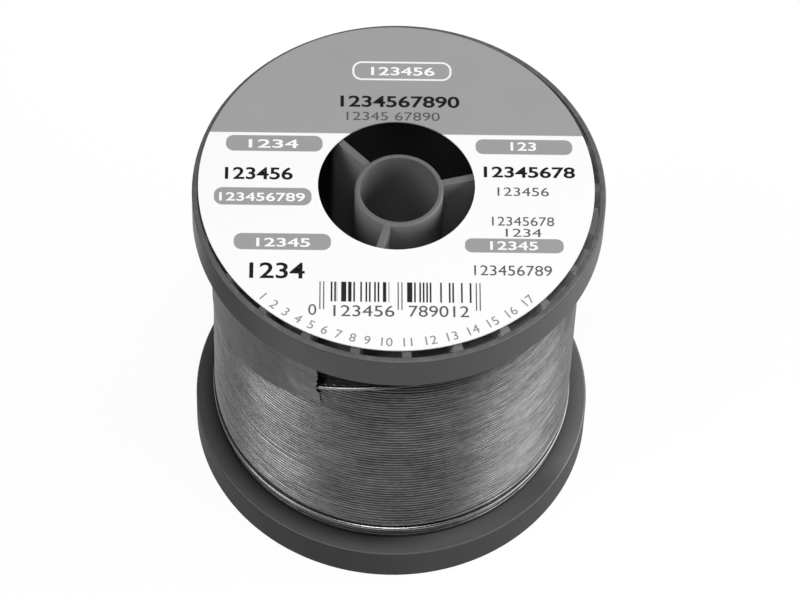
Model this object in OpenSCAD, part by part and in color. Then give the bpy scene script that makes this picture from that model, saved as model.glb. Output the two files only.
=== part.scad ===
// Wire spool, full, for soft solder wire: two moulded halves, a face label, the wound wire and its end tape.
// The spool stands on its lower rim. Z runs up the spindle bore and the origin is in the middle of the base.

/* [Flanges] */
// Outside diameter of both flanges
flange_d = 63; // [56:0.5:80]
// Height of the spool over both rims, without the label
spool_h = 61.6; // [52:0.1:80]
// Height of a flange, from the rim's free edge to the winding side
flange_h = 6.4; // [5:0.1:8]
// Thickness of the rim's wall
rim_wall = 0.9; // [0.8:0.1:1.6]
// Thickness of the flange plate that closes the winding space
plate_t = 1.6; // [1:0.1:2.4]
// Rounding of the rim where it meets the winding side
rim_round = 0.35; // [0.2:0.05:1.4]
// Rounding of the rim's free edge
edge_round = 0.3; // [0.1:0.05:0.4]
// Number of radial ribs in a flange
rib_count = 24; // [12:1:36]
// Thickness of a rib at its free edge
rib_t = 1.3; // [0.8:0.1:2]
// How much thicker a rib is where it leaves the plate
rib_draft = 0.2; // [0.1:0.05:0.4]
// How far the ribs and the webs stay under the rim
rib_drop = 0.4; // [0:0.1:1]

/* [Hub] */
// Outside diameter of the barrel that carries the wire
barrel_d = 35; // [30:0.5:40]
// Thickness of the barrel's wall
barrel_wall = 2; // [1.6:0.1:3]
// Diameter of the spindle bore
bore_d = 12; // [8:0.1:16]
// Thickness of the bore tube's wall
tube_wall = 0.75; // [0.7:0.05:2]
// Number of webs between the bore tube and the barrel
web_count = 3; // [3:1:4]
// Thickness of a web
web_t = 1.1; // [0.8:0.1:2]
// Direction of the first web, seen from above
web_turn = 27; // [0:1:119]
// Length of the spigot that centres one half in the other
spigot_h = 3; // [2:0.5:6]
// Gap all round the spigot
spigot_gap = 0.1; // [0.05:0.05:0.2]

/* [Label] */
// Thickness of the label, which lies on the rim and on the end of the barrel
label_t = 0.2; // [0.1:0.05:0.4]
// How much smaller the label's radius is than the flange's
label_inset = 1.35; // [0.9:0.05:3]
// Diameter of the hole in the label
label_hole_d = 23.9; // [18:0.1:30]
// How far the label was stuck on off the middle
label_shift = 0.82; // [0:0.02:1.2]
// Direction that it is off to, seen from above
label_push = 132; // [0:1:359]

/* [Wire] */
// How far the outer turns stay inside the rim
freeboard = 3.1; // [3:0.1:6]
// Diameter of the modelled turns, thicker than the wire and fewer
turn_d = 1.2; // [0.8:0.1:1.3]
// Least gap between neighbouring turns, along the axis
turn_gap = 0.6; // [0.5:0.05:1]
// Gap from the winding to the barrel and the flanges
wind_gap = 0.1; // [0.05:0.05:0.3]
// Height of the sunk part of the winding under the upper flange
valley_h = 3; // [2.5:0.1:6]
// Depth of that sunk part
valley_depth = 2; // [1:0.1:4]
// Number of loose turns that slid down to the lower flange
loose_turns = 2; // [1:1:4]
// Extra step over the loose turns
loose_step = 0.6; // [0.2:0.1:1]
// Direction where the outer layer comes up from the layer under it
inner_turn = 110; // [60:1:150]
// Direction where the free end of the wire leaves the top turn
tail_turn = -76; // [-120:1:-40]
// Angle that the free end covers before it is cut off
tail_arc = 32; // [26:1:40]
// How far the free end comes down the winding
tail_drop = 7.5; // [6:0.1:9]
// Gap between the free end and the turns that it crosses
tail_gap = 0.5; // [0.45:0.05:0.8]

/* [Tape] */
// Width of the tape
tape_w = 12; // [10:0.5:15]
// Thickness of the tape
tape_t = 0.2; // [0.1:0.05:0.3]
// Length of the tape
tape_len = 55; // [40:1:80]
// Gap between the tape and the wire
tape_gap = 0.1; // [0.05:0.05:0.2]
// Distance from the upper flange down to the tape at its visible end
tape_below = 1.5; // [1:0.1:4]
// Slant of the tape
tape_slant = 10; // [0:1:12]
// How much of the free end lies under the tape, as an angle
tape_cover = 8; // [4:1:12]
// Depth of the teeth that the cutter left
tooth_depth = 0.4; // [0.2:0.05:0.6]

/* [Hidden] */
$fn = 96;

// Radii of the spool
flange_r = flange_d/2;
rim_in_r = flange_r - rim_wall;
barrel_r = barrel_d/2;
barrel_in_r = barrel_r - barrel_wall;
bore_r = bore_d/2;
tube_r = bore_r + tube_wall;
mid_h = spool_h/2;
// Spigot and socket share the barrel's wall
spigot_r = barrel_r - barrel_wall/2;

label_r = flange_r - label_inset;

// Path of the outer turns: radius of the middle of the wire, first and last height
turn_r = turn_d/2;
wound_r = flange_r - freeboard;
path_r = wound_r - turn_r;
turn_first = flange_h + wind_gap + turn_r;
turn_last = spool_h - flange_h - wind_gap - valley_h - turn_r;
turn_span = turn_last - turn_first - loose_step;
// The last loop is a part of one, because the outer layer starts behind and ends in front
part_loop = (360 + tail_turn - inner_turn)/360;
loops = floor(turn_span/(turn_d + turn_gap) + part_loop);
pitch = turn_span/(loops - part_loop);
RINGS = 24;
SIDES = 6;
// A straight piece between two rings dips this far inside the path
ring_dip = path_r*(1 - cos(180/RINGS));
core_r = path_r - turn_r - ring_dip - wind_gap;
// The free end rides on the turns, and the inner end bends down into the winding
tail_lift = turn_d + tail_gap;
lift_arc = 45;
tail_step = 4;
bend_r = turn_d;
bend_step = 15;
socket_r = turn_r + 2*wind_gap;

function smooth(x) = let (s = min(max(x, 0), 1)) s*s*(3 - 2*s);
function polar(r, a, z) = [r*cos(a), r*sin(a), z];
function arc(centre, r, from, to, steps = 6) =
    [for (i = [0:steps]) centre + r*[cos(from + (to - from)*i/steps), sin(from + (to - from)*i/steps)]];

// Half of the spool, with its rim on the ground: the turned profile of flange and barrel
module turned_half() {
    plate_low = flange_h - plate_t;
    rotate_extrude()
        polygon(concat(
            [[barrel_in_r, 0], [barrel_r, 0], [barrel_r, plate_low], [rim_in_r, plate_low]],
            [[rim_in_r, 0]],
            arc([flange_r - edge_round, edge_round], edge_round, -90, 0, 3),
            arc([flange_r - rim_round, flange_h - rim_round], rim_round, 0, 90),
            [[barrel_r, flange_h], [barrel_r, mid_h], [barrel_in_r, mid_h]]));
}

// One rib from the barrel to the rim, thinner at its free edge
module rib() {
    top = flange_h - plate_t/2;
    root = rib_t/2 + rib_draft/2;
    translate([barrel_r - barrel_wall/2, 0, 0])
        rotate([90, 0, 90])
            linear_extrude(rim_in_r + rim_wall/2 - barrel_r + barrel_wall/2)
                polygon([[-rib_t/2, rib_drop], [rib_t/2, rib_drop], [root, top], [-root, top]]);
}

// Tube for the spindle, its free end rounded outside
module bore_tube() {
    rotate_extrude()
        polygon(concat(
            [[bore_r, 0]],
            arc([tube_r - edge_round, edge_round], edge_round, -90, 0, 3),
            [[tube_r, mid_h], [bore_r, mid_h]]));
}

module webs() {
    for (i = [0:web_count - 1])
        rotate(web_turn + i*360/web_count)
            translate([bore_r + tube_wall/2, -web_t/2, rib_drop])
                cube([barrel_in_r + barrel_wall/4 - bore_r - tube_wall/2, web_t, mid_h - rib_drop]);
}

module spool_half() {
    turned_half();
    for (i = [0:rib_count - 1])
        rotate(i*360/rib_count) rib();
    bore_tube();
    webs();
}

module lower_spool_half() {
    color([0.16, 0.16, 0.17])
        difference() {
            spool_half();
            translate([0, 0, mid_h - spigot_h - spigot_gap])
                difference() {
                    cylinder(r = spigot_r, h = 2*spigot_h);
                    translate([0, 0, -spigot_h])
                        cylinder(r = barrel_in_r - spigot_gap, h = 4*spigot_h);
                }
        }
}

module upper_spool_half() {
    color([0.18, 0.18, 0.19]) {
        translate([0, 0, spool_h])
            mirror([0, 0, 1]) spool_half();
        translate([0, 0, mid_h - spigot_h])
            difference() {
                cylinder(r = spigot_r - spigot_gap, h = 2*spigot_h);
                translate([0, 0, -spigot_h])
                    cylinder(r = barrel_in_r, h = 4*spigot_h);
            }
    }
}

module face_label() {
    color("white")
        translate(polar(label_shift, label_push, spool_h))
            linear_extrude(label_t)
                difference() {
                    circle(r = label_r);
                    circle(d = label_hole_d);
                }
}

// All layers under the outer one, with the sunk part under the upper flange and the hole for the inner end
module inner_winding() {
    low = flange_h + wind_gap;
    high = spool_h - low;
    inner_r = barrel_r + wind_gap;
    color([0.45, 0.45, 0.46])
        difference() {
            rotate_extrude()
                polygon([[inner_r, low], [core_r, low], [core_r, high - valley_h],
                         [core_r - valley_depth, high - valley_h + valley_depth/2],
                         [core_r - valley_depth, high], [inner_r, high]]);
            translate(path_start) rotate([0, 0, start_turn]) rotate([0, 90, 0])
                translate([0, 0, -wind_gap]) cylinder(r = socket_r, h = path_r);
        }
}

// Middle line of the outer turns, from the inner end to the free end; the wire runs clockwise as it climbs
start_turn = tail_turn + (loops - part_loop)*360;
function climb(a) = (start_turn - a)/360;
function past_loose(a) = smooth(climb(a) - loose_turns + 0.5);
function turn_z(a) = turn_first + pitch*climb(a) + loose_step*past_loose(a);
function lift(a) = tail_lift*smooth((tail_turn + lift_arc - a)/lift_arc);
function tail_z(a) = turn_last - tail_drop*pow(max(tail_turn - a, 0)/tail_arc, 2);
path_start = polar(path_r - bend_r - turn_d, start_turn, turn_first);
tail_end = tail_turn - tail_arc;
inner_end = [
    path_start,
    for (b = [0:bend_step:90 - bend_step])
        polar(path_r - bend_r + bend_r*sin(b), start_turn, turn_first)
        + bend_r*(1 - cos(b))*polar(1, start_turn - 90, 0)
];
bend_arc = 2*asin(bend_r/path_r/2);
wound = [
    for (a = [start_turn - bend_arc:-360/RINGS:tail_turn + lift_arc])
        polar(path_r, a, turn_z(a))
];
free_end = [
    for (a = [tail_turn + lift_arc - tail_step:-tail_step:tail_end])
        polar(path_r + lift(a), a, a > tail_turn ? turn_z(a) : tail_z(a))
];
last = len(free_end) - 1;
cut_end = free_end[last] + turn_d*unit(free_end[last] - free_end[last - 1]);
wire_path = concat(inner_end, wound, free_end, [cut_end]);

function unit(v) = v/norm(v);
function along(p, i) = unit(p[min(i + 1, len(p) - 1)] - p[max(i - 1, 0)]);

// Tube of flat triangles along a path that never runs straight up
module tube(p, r, sides) {
    n = len(p);
    points = [
        for (i = [0:n - 1])
            let (t = along(p, i), side = unit(cross(t, [0, 0, 1])), up = cross(side, t))
                for (k = [0:sides - 1])
                    p[i] + r*(cos(360*k/sides)*side + sin(360*k/sides)*up)
    ];
    walls = [
        for (i = [0:n - 2], k = [0:sides - 1])
            let (a = i*sides + k, b = i*sides + (k + 1) % sides)
                each [[a, a + sides, b], [b, a + sides, b + sides]]
    ];
    ends = [
        for (k = [1:sides - 2])
            each [[0, k, k + 1], [(n - 1)*sides, (n - 1)*sides + k + 1, (n - 1)*sides + k]]
    ];
    polyhedron(points, concat(walls, ends), convexity = 10);
}

module outer_turns() {
    color([0.55, 0.55, 0.57]) tube(wire_path, turn_r, SIDES);
}

// Tape: a thin sheet laid over the turns that swells over the free end of the wire
tape_r = wound_r + tape_gap;
tape_start = tail_end + tape_cover;
tape_turn = tape_len/tape_r*180/PI;
tape_low = spool_h - flange_h - tape_below - tape_w;
tape_fall = tan(tape_slant)*tape_r*PI/180;
ROWS = 16;
swell_h = tail_lift + tape_gap;
swell_flat = 1.5*turn_r + tape_w/ROWS;
swell_fade = 2*turn_d;
swell_end = tail_end - turn_d/path_r*180/PI;
FINE_STEPS = 8;
FINE_STEP = 2;
COARSE_STEPS = 12;
tooth_turn = tooth_depth/tape_r*180/PI;
coarse_step = (tape_turn - FINE_STEPS*FINE_STEP)/COARSE_STEPS;
tape_angles = concat(
    [for (i = [0:FINE_STEPS]) i*FINE_STEP],
    [for (i = [1:COARSE_STEPS]) FINE_STEPS*FINE_STEP + i*coarse_step]);

function tail_distance(a, z) =
    let (b = max(a, swell_end), dz = z - tail_z(b), da = (b - a)*tape_r*PI/180)
        norm([dz, da]);
function swell(a, z) = swell_h*smooth(1 - (tail_distance(a, z) - swell_flat)/swell_fade);
function tape_point(i, j, out) =
    let (
        tooth = (j % 2)*tooth_turn*(i == 0 ? 1 : i == len(tape_angles) - 1 ? -1 : 0),
        a = tape_start - tape_angles[i] - tooth,
        z = tape_low + tape_w*j/ROWS - tape_angles[i]*tape_fall)
            polar(tape_r + swell(a, z) + out, a, z);

module end_tape() {
    cols = len(tape_angles);
    rows = ROWS + 1;
    count = cols*rows;
    points = [
        for (out = [0, tape_t], i = [0:cols - 1], j = [0:ROWS]) tape_point(i, j, out)
    ];
    sheet = [
        for (i = [0:cols - 2], j = [0:ROWS - 1])
            let (a = i*rows + j, b = a + 1, c = a + rows, d = c + 1)
                each [[a, b, c], [b, d, c], [a + count, c + count, b + count], [b + count, c + count, d + count]]
    ];
    border = concat(
        [for (i = [0:cols - 1]) i*rows],
        [for (j = [1:ROWS]) (cols - 1)*rows + j],
        [for (i = [cols - 2:-1:0]) i*rows + ROWS],
        [for (j = [ROWS - 1:-1:1]) j]);
    m = len(border);
    edges = [
        for (k = [0:m - 1])
            let (a = border[k], b = border[(k + 1) % m])
                each [[a, b, a + count], [b, b + count, a + count]]
    ];
    color([0.62, 0.62, 0.6, 0.9]) polyhedron(points, concat(sheet, edges), convexity = 6);
}

// Least gap of the wire to itself: neighbouring turns, and the free end over the turns
function finer(p, n) = [for (i = [0:len(p) - 2], k = [0:n - 1]) p[i] + (p[i + 1] - p[i])*k/n];
turn_gaps = [
    for (i = [0:len(wound) - RINGS - 2], k = [RINGS - 1:RINGS + 1]) norm(wound[i] - wound[i + k]) - turn_d
];
near_tail = finer([for (i = [max(len(wound) - 6*RINGS, 0):len(wound) - 1]) wound[i]], 8);
tail_gaps = [
    for (p = finer(concat(free_end, [cut_end]), 4), q = near_tail)
        if (norm(p - q) < 4*turn_d && norm(q - wound[len(wound) - 1]) > 4*turn_d) norm(p - q) - turn_d
];
echo(loops = loops, pitch = pitch, triangles = 2*SIDES*(len(wire_path) - 1));
echo(least_gap_between_turns = min(turn_gaps), least_gap_under_free_end = min(tail_gaps));

lower_spool_half();
upper_spool_half();
face_label();
inner_winding();
outer_turns();
end_tape();
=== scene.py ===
# %% [markdown]
# A full spool of soft solder wire: two dark plastic halves, a paper label on the top face,
# many layers of bright wire and a strip of film that holds the loose end.
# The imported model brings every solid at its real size, so this lesson only dresses it.
# The rigid pieces keep their solids and get a finish; the wire and the film are made again, finer.

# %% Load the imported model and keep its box
import math
import random
from types import SimpleNamespace

import bmesh
import bpy
import numpy as np
from mathutils import Matrix, Vector


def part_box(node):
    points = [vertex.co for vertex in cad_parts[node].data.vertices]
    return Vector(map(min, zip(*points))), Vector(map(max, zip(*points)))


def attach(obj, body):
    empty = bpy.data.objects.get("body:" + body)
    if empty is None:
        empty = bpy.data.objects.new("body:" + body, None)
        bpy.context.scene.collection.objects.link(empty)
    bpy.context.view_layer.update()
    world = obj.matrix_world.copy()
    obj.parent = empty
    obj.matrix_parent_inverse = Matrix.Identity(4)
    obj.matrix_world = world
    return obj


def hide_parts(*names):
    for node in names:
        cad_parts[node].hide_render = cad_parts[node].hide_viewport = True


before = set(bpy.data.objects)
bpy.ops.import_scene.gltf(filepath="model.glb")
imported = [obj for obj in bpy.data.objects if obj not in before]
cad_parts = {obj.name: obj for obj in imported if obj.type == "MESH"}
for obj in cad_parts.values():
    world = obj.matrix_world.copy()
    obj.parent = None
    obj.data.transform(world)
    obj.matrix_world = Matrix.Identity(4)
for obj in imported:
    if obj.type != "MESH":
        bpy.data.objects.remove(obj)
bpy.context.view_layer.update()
MM = 0.001
print("solids:", sorted(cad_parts))

# %% [markdown]
# The camera stands where the photographer stood: high, a little to the right, far away.
# A long lens keeps the two flanges almost the same size, as they are in the picture.
# The lens is given in pixels of an image 800 wide, and the sensor turns it into millimetres.
# A small roll about the line of sight tips the spool the way the hand-held shot does.

# %% Camera
IMAGE_WIDTH = 800
FOCAL_PIXELS = 4635.2
SENSOR_WIDTH = 36.0
CAMERA_TURN = math.radians(10.8)
CAMERA_RISE = math.radians(55.85)
CAMERA_ROLL = math.radians(2.33)
CAMERA_DISTANCE = 728.99 * MM
CAMERA_AIM = Vector((0.80, 0.15, 31.77)) * MM
CLIP_NEAR = 0.05
CLIP_FAR = 20.0


def direction(turn, rise):
    """Unit vector towards a viewer who is turned about the axis and raised above the floor."""
    return Vector((math.sin(turn) * math.cos(rise), -math.cos(turn) * math.cos(rise), math.sin(rise)))


def make_camera():
    data = bpy.data.cameras.new("camera")
    data.sensor_width = SENSOR_WIDTH
    data.lens = FOCAL_PIXELS * SENSOR_WIDTH / IMAGE_WIDTH
    data.clip_start = CLIP_NEAR
    data.clip_end = CLIP_FAR
    camera = bpy.data.objects.new("camera", data)
    bpy.context.scene.collection.objects.link(camera)
    back = direction(CAMERA_TURN, CAMERA_RISE)
    turn = (-back).to_track_quat("-Z", "Y").to_matrix() @ Matrix.Rotation(CAMERA_ROLL, 3, "Z")
    camera.matrix_world = Matrix.Translation(CAMERA_AIM + back * CAMERA_DISTANCE) @ turn.to_4x4()
    bpy.context.scene.camera = camera
    return camera


camera = make_camera()
print("lens in mm:", round(camera.data.lens, 1))

# %% [markdown]
# Shader maths reads best as Python. The class below wraps one output of a node, so that
# `1 - mask * 0.5` adds the Math nodes by itself. Vectors go through Vector Math, and any other
# node comes from `node`, which sets the node's own settings first and then fills its sockets.

# %% Signals: shader sockets in Python expressions
class Signal:
    """One output socket of a shader node, ready for arithmetic."""

    def __init__(self, socket):
        self.socket = socket

    @staticmethod
    def node(tree, kind, settings=None, sockets=None, output=0):
        """Adds a node: its settings, then the values or links of its sockets."""
        made = tree.nodes.new(kind)
        for name, value in (settings or {}).items():
            setattr(made, name, value)
        for name, value in (sockets or {}).items():
            target = next(s for s in made.inputs if name in (s.identifier, s.name))
            if isinstance(value, Signal):
                tree.links.new(value.socket, target)
            else:
                target.default_value = value
        if isinstance(output, str):
            return Signal(next(s for s in made.outputs if output in (s.identifier, s.name)))
        return Signal(made.outputs[output])

    def combine(self, operation, other, swapped=False):
        """A Math or Vector Math node on this signal and a number, a triple or another signal."""
        tree = self.socket.id_data
        first, second = (other, self) if swapped else (self, other)
        kinds = [s.socket.type for s in (first, second) if isinstance(s, Signal)]
        if "VECTOR" in kinds or "RGBA" in kinds:
            pair = [(s, s, s) if isinstance(s, (int, float)) else s for s in (first, second)]
            sockets = {"Vector": pair[0], "Vector_001": pair[1]}
            return Signal.node(tree, "ShaderNodeVectorMath", {"operation": operation}, sockets)
        sockets = {"Value": first, "Value_001": second}
        return Signal.node(tree, "ShaderNodeMath", {"operation": operation}, sockets)

    def __add__(self, other):
        return self.combine("ADD", other)

    def __radd__(self, other):
        return self.combine("ADD", other, swapped=True)

    def __sub__(self, other):
        return self.combine("SUBTRACT", other)

    def __rsub__(self, other):
        return self.combine("SUBTRACT", other, swapped=True)

    def __mul__(self, other):
        return self.combine("MULTIPLY", other)

    def __rmul__(self, other):
        return self.combine("MULTIPLY", other, swapped=True)

    def __truediv__(self, other):
        return self.combine("DIVIDE", other)

    def __rtruediv__(self, other):
        return self.combine("DIVIDE", other, swapped=True)

    def __abs__(self):
        return self.combine("ABSOLUTE", 0.0)

    def root(self):
        return self.combine("POWER", 0.5)

    def largest(self, other):
        return self.combine("MAXIMUM", other)

    def smallest(self, other):
        return self.combine("MINIMUM", other)

    def clamped(self):
        return self.largest(0.0).smallest(1.0)

    def scaled(self, low, high):
        """A number that goes from low to high as the signal goes from 0 to 1."""
        return low + self * (high - low)

    def eased(self, start, end):
        """0 below start, 1 above end, with a smooth step between."""
        settings = {"interpolation_type": "SMOOTHSTEP"}
        sockets = {"Value": self, "From Min": start, "From Max": end}
        return Signal.node(self.socket.id_data, "ShaderNodeMapRange", settings, sockets)

    def parts(self):
        """The three numbers of a vector."""
        tree = self.socket.id_data
        split = Signal.node(tree, "ShaderNodeSeparateXYZ", {}, {"Vector": self}).socket.node
        return [Signal(output) for output in split.outputs]


print("signals ready")

# %% [markdown]
# Every finish here is one Principled shader. `Finish` holds the node tree of one material and the
# few patterns that they share: places in millimetres, soft noise, and a mix of two colours.
# On a spool most streaks run round the axis, so `round_noise` bends the noise that way: its place
# is an angle and a height, not x and y.
# The number that stays the same all over a surface is set on the shader's own socket.

# %% Finishes: one material each
class Finish:
    """A new material with a Principled shader and the helpers that its patterns use."""

    def __init__(self, name):
        self.material = bpy.data.materials.new(name)
        self.material.use_nodes = True
        self.tree = self.material.node_tree
        self.shader = self.tree.nodes["Principled BSDF"]

    def node(self, kind, settings=None, sockets=None, output=0):
        return Signal.node(self.tree, kind, settings, sockets, output)

    def place(self):
        """Where a point of the surface is, in millimetres of the part's frame."""
        return self.node("ShaderNodeTexCoord", output="Object") * (1 / MM)

    def noise(self, place, scale, detail=2.0, roughness=0.5, spread=None):
        """Soft random patches; a spread gives the two levels that become 0 and 1."""
        sockets = {"Vector": place, "Scale": scale, "Detail": detail, "Roughness": roughness}
        patches = self.node("ShaderNodeTexNoise", {}, sockets, "Fac")
        return patches.eased(*spread) if spread else patches

    def round_noise(self, place, around, upward, **noise):
        """Noise along the turns, with so many patches to a radian and to a millimetre of height."""
        x, y, z = place.parts()
        sockets = {"X": y.combine("ARCTAN2", x) * around, "Z": z * upward}
        return self.noise(self.node("ShaderNodeCombineXYZ", {}, sockets), scale=1.0, **noise)

    def blend(self, share, first, second):
        """A colour that goes from the first to the second as share goes from 0 to 1."""
        sides = [side if isinstance(side, Signal) else (*side, 1.0) for side in (first, second)]
        sockets = {"Factor_Float": share, "A_Color": sides[0], "B_Color": sides[1]}
        return self.node("ShaderNodeMix", {"data_type": "RGBA"}, sockets, "Result_Color")

    def bump(self, height, depth, normal=None):
        """A surface normal from a height of 0 to 1 that stands for so many millimetres."""
        sockets = {"Height": height, "Distance": depth * MM, "Strength": 1.0}
        if normal is not None:
            sockets["Normal"] = normal
        return self.node("ShaderNodeBump", {}, sockets)

    def set(self, **sockets):
        """Sets or links the shader's sockets; a name's underscores stand for spaces."""
        for name, value in sockets.items():
            target = self.shader.inputs[name.replace("_", " ")]
            if isinstance(value, Signal):
                self.tree.links.new(value.socket, target)
            else:
                target.default_value = value
        return self


def grey(level):
    return (level, level, level)


def wear(piece, finish):
    """Gives a piece its material."""
    piece.data.materials.clear()
    piece.data.materials.append(finish.material)


print("finishes ready")

# %% [markdown]
# The halves are moulded in one dark grey plastic. Light and shade are painted over that grey:
# painted light makes the hub, the pockets between the ribs and the lower face paler, most at the
# right, and painted shade darkens the low outer wall, the upper wall at the left, the inside of the
# barrel and the corner of the lower face beside the wire. Such places could be painted by hand.
# Here each is a mask from 0 to 1, worked out from the moulding's own radii and heights in
# millimetres. A pair of numbers is where a mask starts and where it is full.

# %% Zones of the moulding
SOFT = 0.1
BORE_R = 6.0
HUB_R = 13.0
BARREL_R = 17.5
POCKET_R = 30.6
FACE_R = 28.1
FACE_WIDE = 2.6
FACE_LOW = 6.2
FACE_HIGH = 6.6
POCKET_LOW = 55.6
LAND_LOW = 61.3
HUB_FADE = (HUB_R, HUB_R + 1.5)
HUB_HEIGHT = (46.0, 58.0)
TUBE_OUTSIDE = (BORE_R + 0.2, BORE_R + 0.5)
BARREL_INSIDE = (BARREL_R - 1.0, BARREL_R - 0.5)
RIM = (POCKET_R, POCKET_R + SOFT)
BRIM = (POCKET_R - 0.4, POCKET_R - SOFT)
BRIM_LEAN = (-0.8, -0.5)
POCKET_FLOOR = (POCKET_LOW, POCKET_LOW + 2 * SOFT)
POCKET_MOUTH = (LAND_LOW - 2 * SOFT, LAND_LOW)
# How the painted light in the pockets grows towards the sides.
POCKET_ACROSS = (6.0, 24.0)
POCKET_LEAST = 0.4
LAND_HEIGHT = (LAND_LOW, LAND_LOW + 0.3)
LAND_LEAST = 0.45
UPRIGHT_LEAN = (0.3, 0.7)
# Where the lower face gets painted light at the right, and where the corner's painted shade fades.
LIT_RIGHT_ACROSS = (10.0, 20.0)
LIT_RIGHT_DEPTH = (-13.0, -6.0)
SKIRT_ACROSS = (2.0, 18.0)
# Where painted shade lies on the low outer wall and on the upper wall at the left.
FOOT_ACROSS = (-6.0, 14.0)
FOOT_LEAST = 0.4
BROW_HEIGHT = (50.0, 54.0)
BROW_ACROSS = (-22.0, -8.0)
BROW_DEPTH = (-22.0, -12.0)


def moulding_zones(place, flat):
    """Masks of the places on a half where light and shade are painted, from its points and normals."""
    x, y, z = place.parts()
    lean_x, lean_y, lean_z = flat.parts()
    out = (x * x + y * y).root()
    upright = 1.0 - abs(lean_z).eased(*UPRIGHT_LEAN)
    outward = (lean_x * x + lean_y * y) / out
    rim = out.eased(*RIM)
    wall = upright * rim
    hub = 1.0 - out.eased(*HUB_FADE)
    pocket = out.eased(BARREL_R - SOFT, BARREL_R) * (1.0 - rim)
    pocket = pocket * z.eased(*POCKET_FLOOR) * (1.0 - z.eased(*POCKET_MOUTH))
    left = (1.0 - x.eased(*BROW_ACROSS)) * (1.0 - y.eased(*BROW_DEPTH))
    # The masks of the hub, the pockets, their brim and the lit hub walls mark painted light. Those of the
    # barrel's inside, the foot and the brow mark painted shade. On the lower face they mark painted shade
    # by the wire, and painted light further out and at the right.
    return SimpleNamespace(
        hub=hub,
        hub_lit=hub * upright * out.eased(*TUBE_OUTSIDE) * z.eased(*HUB_HEIGHT),
        core=upright * (1.0 - out.eased(*BARREL_INSIDE)),
        pocket=pocket,
        pocket_open=pocket * abs(x).eased(*POCKET_ACROSS).scaled(POCKET_LEAST, 1.0),
        brim=pocket * out.eased(*BRIM) * (1.0 - outward.eased(*BRIM_LEAN)),
        land=z.eased(*LAND_HEIGHT) * rim.scaled(LAND_LEAST, 1.0),
        face=z.eased(FACE_LOW, FACE_LOW + SOFT) * (1.0 - z.eased(FACE_HIGH - SOFT, FACE_HIGH)),
        face_out=((out - FACE_R) / FACE_WIDE).clamped(),
        handled=x.eased(*LIT_RIGHT_ACROSS) * y.eased(*LIT_RIGHT_DEPTH),
        skirt=x.eased(*SKIRT_ACROSS),
        foot=wall * (1.0 - z.eased(FACE_LOW, FACE_HIGH)),
        foot_fade=x.eased(*FOOT_ACROSS).scaled(1.0, FOOT_LEAST),
        brow=wall * z.eased(*BROW_HEIGHT) * left,
    )


print("pocket radii in mm:", BARREL_R, POCKET_R)

# %% [markdown]
# The skin is satin. A perfectly even skin looks like a drawing, so the colour clouds a little, a
# fine grain breaks the shine, and the edges that rub on the bench go paler. Those edges could be
# marked on the mesh. A Bevel node finds them without that: near one, its normal leans away.

# %% Moulded plastic
PLASTIC_DEEP = grey(0.033)
PLASTIC_PALE = grey(0.044)
# Painted light: the hub and the pockets are paler than the skin, the pockets paler still towards the
# sides, the inner brim of the rim palest, and the upright walls high in the hub lit pale.
PLASTIC_INSIDE_LIT = grey(0.14)
PLASTIC_POCKET_LIT = grey(0.52)
PLASTIC_BRIM_LIT = grey(0.75)
PLASTIC_HUB_LIT = grey(0.24)
# Painted shade: the low outer wall, the upper wall at the left and the inside of the barrel.
PLASTIC_SHADE = grey(0.012)
# Painted shade in the corner of the lower face beside the wire, less at the right, and painted light on
# the face further out, most at the right.
PLASTIC_CORNER_SHADE = grey(0.008)
PLASTIC_CORNER_LIT = grey(0.07)
PLASTIC_FACE_LIT = grey(0.068)
PLASTIC_FACE_RIGHT_LIT = grey(0.15)
# Worn edges, and a painted sheen on the top land of the rim.
PLASTIC_WEAR_AND_SHEEN = grey(0.13)
CLOUD_SPREAD = (0.3, 0.7)
EDGE_RADIUS = 0.22
EDGE_SAMPLES = 6
EDGE_LEAN = (0.02, 0.30)
EDGE_WEAR = 0.6
# Share of the painted sheen on the top land.
LAND_SHEEN = 0.6
GRAIN_DEPTH = 0.004
SKIN_ROUGHNESS = 0.38
CLOUD_ROUGHER = 0.10
GRAIN_ROUGHER = 0.06
EDGE_ROUGHER = 0.06
DARK_ROUGHER = 0.22


def plastic_colour(finish, zones, cloud, wear_and_sheen):
    """The skin's grey, then each zone's painted light and shade, then worn edges and painted sheen."""
    colour = finish.blend(cloud.eased(*CLOUD_SPREAD), PLASTIC_DEEP, PLASTIC_PALE)
    # Painted shade on the low outer wall, the upper wall at the left and the inside of the barrel.
    dark = (zones.foot * zones.foot_fade).largest(zones.core).largest(zones.brow)
    colour = finish.blend(dark, colour, PLASTIC_SHADE)
    # The lower face: painted shade in the corner by the wire, painted light further out and at the right.
    outer = finish.blend(zones.handled, PLASTIC_FACE_LIT, PLASTIC_FACE_RIGHT_LIT)
    corner = finish.blend(zones.skirt, PLASTIC_CORNER_SHADE, PLASTIC_CORNER_LIT)
    colour = finish.blend(zones.face, colour, finish.blend(zones.face_out, corner, outer))
    # Painted light in the hub, in the pockets and on their brim, and on the upright hub walls high up.
    inside = finish.blend(zones.pocket_open, PLASTIC_INSIDE_LIT, PLASTIC_POCKET_LIT)
    inside = finish.blend(zones.brim, inside, PLASTIC_BRIM_LIT)
    colour = finish.blend(zones.hub.largest(zones.pocket), colour, inside)
    colour = finish.blend(zones.hub_lit, colour, PLASTIC_HUB_LIT)
    # Worn edges, and a painted sheen on the land.
    return finish.blend(wear_and_sheen, colour, PLASTIC_WEAR_AND_SHEEN)


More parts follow.
